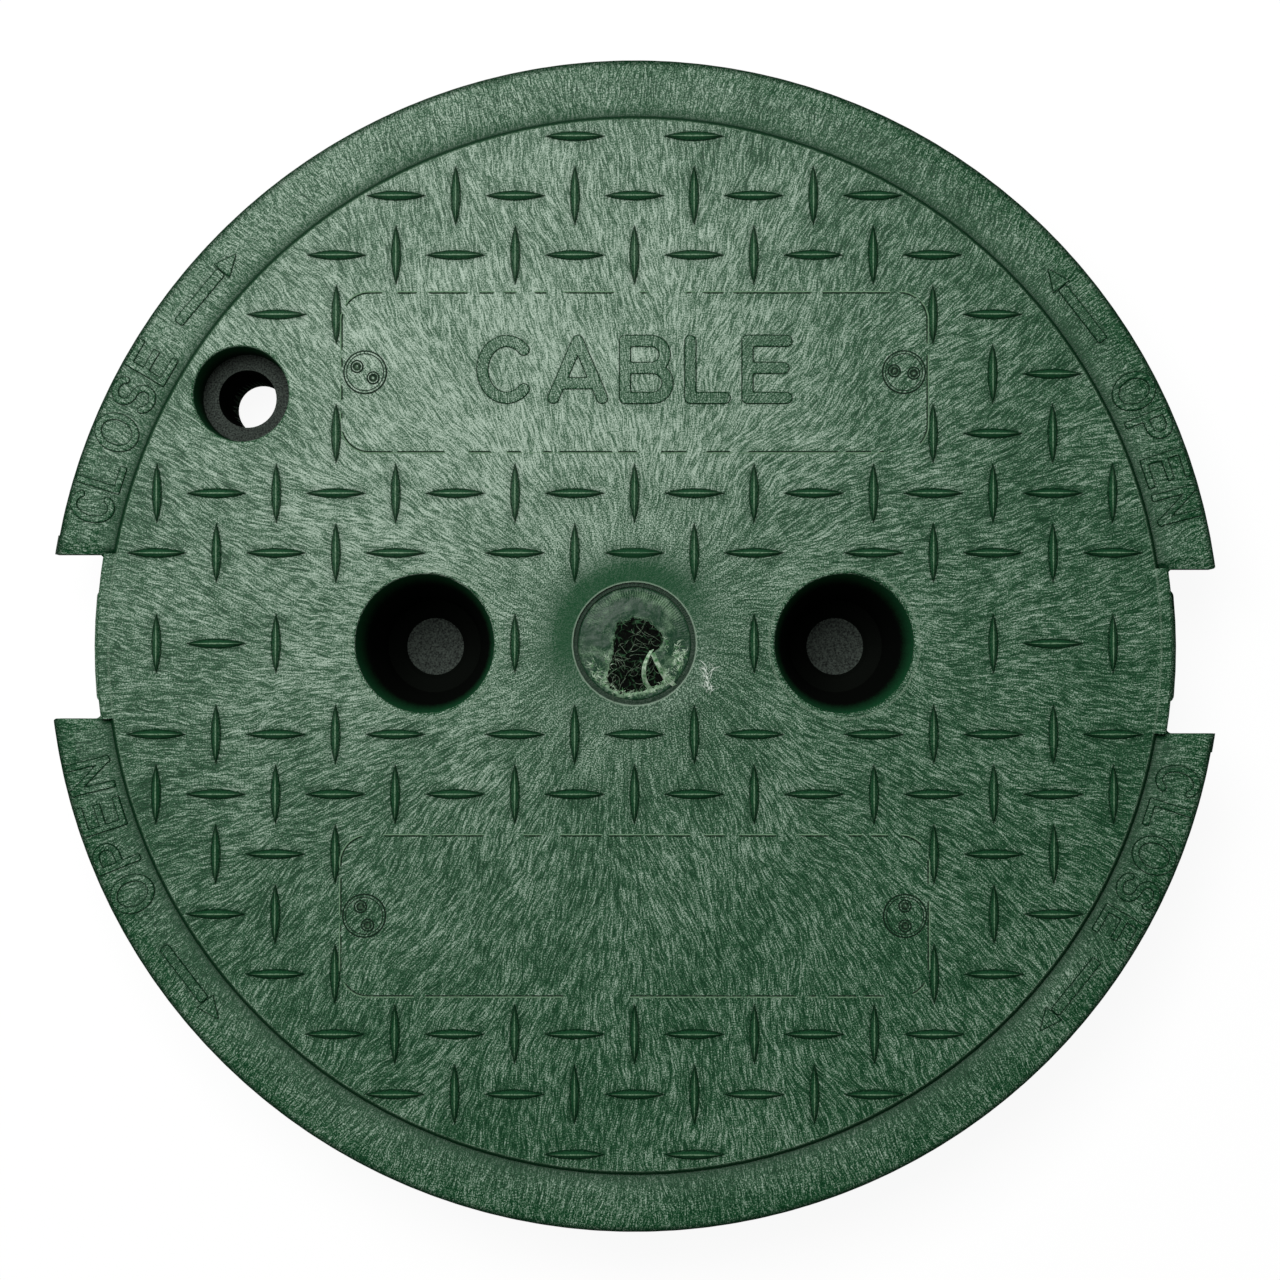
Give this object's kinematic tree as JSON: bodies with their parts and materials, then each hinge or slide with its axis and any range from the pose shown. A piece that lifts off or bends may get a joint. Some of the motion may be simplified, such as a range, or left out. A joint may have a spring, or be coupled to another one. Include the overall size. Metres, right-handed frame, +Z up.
{
  "type": "cable pit cover",
  "caption": "Round twist-lock plastic cover with a raised tread, a crowned flange, two bayonet lugs, two blind lifting sockets and a lock bolt hole.",
  "frame": {"origin": "on the axis of the disc, at the foot of the skirt", "axes": "+Z up through the tread, +X through the right-hand socket, +Y towards the side of the lock bolt hole"},
  "size_m": [0.2954, 0.298, 0.0451],
  "materials": {
    "green_plastic": "mottled structural foam, matte, dark grey-green with pale flow streaks"
  },
  "bodies": {
    "root": {"pit_cover": "green_plastic"}
  },
  "joints": []
}
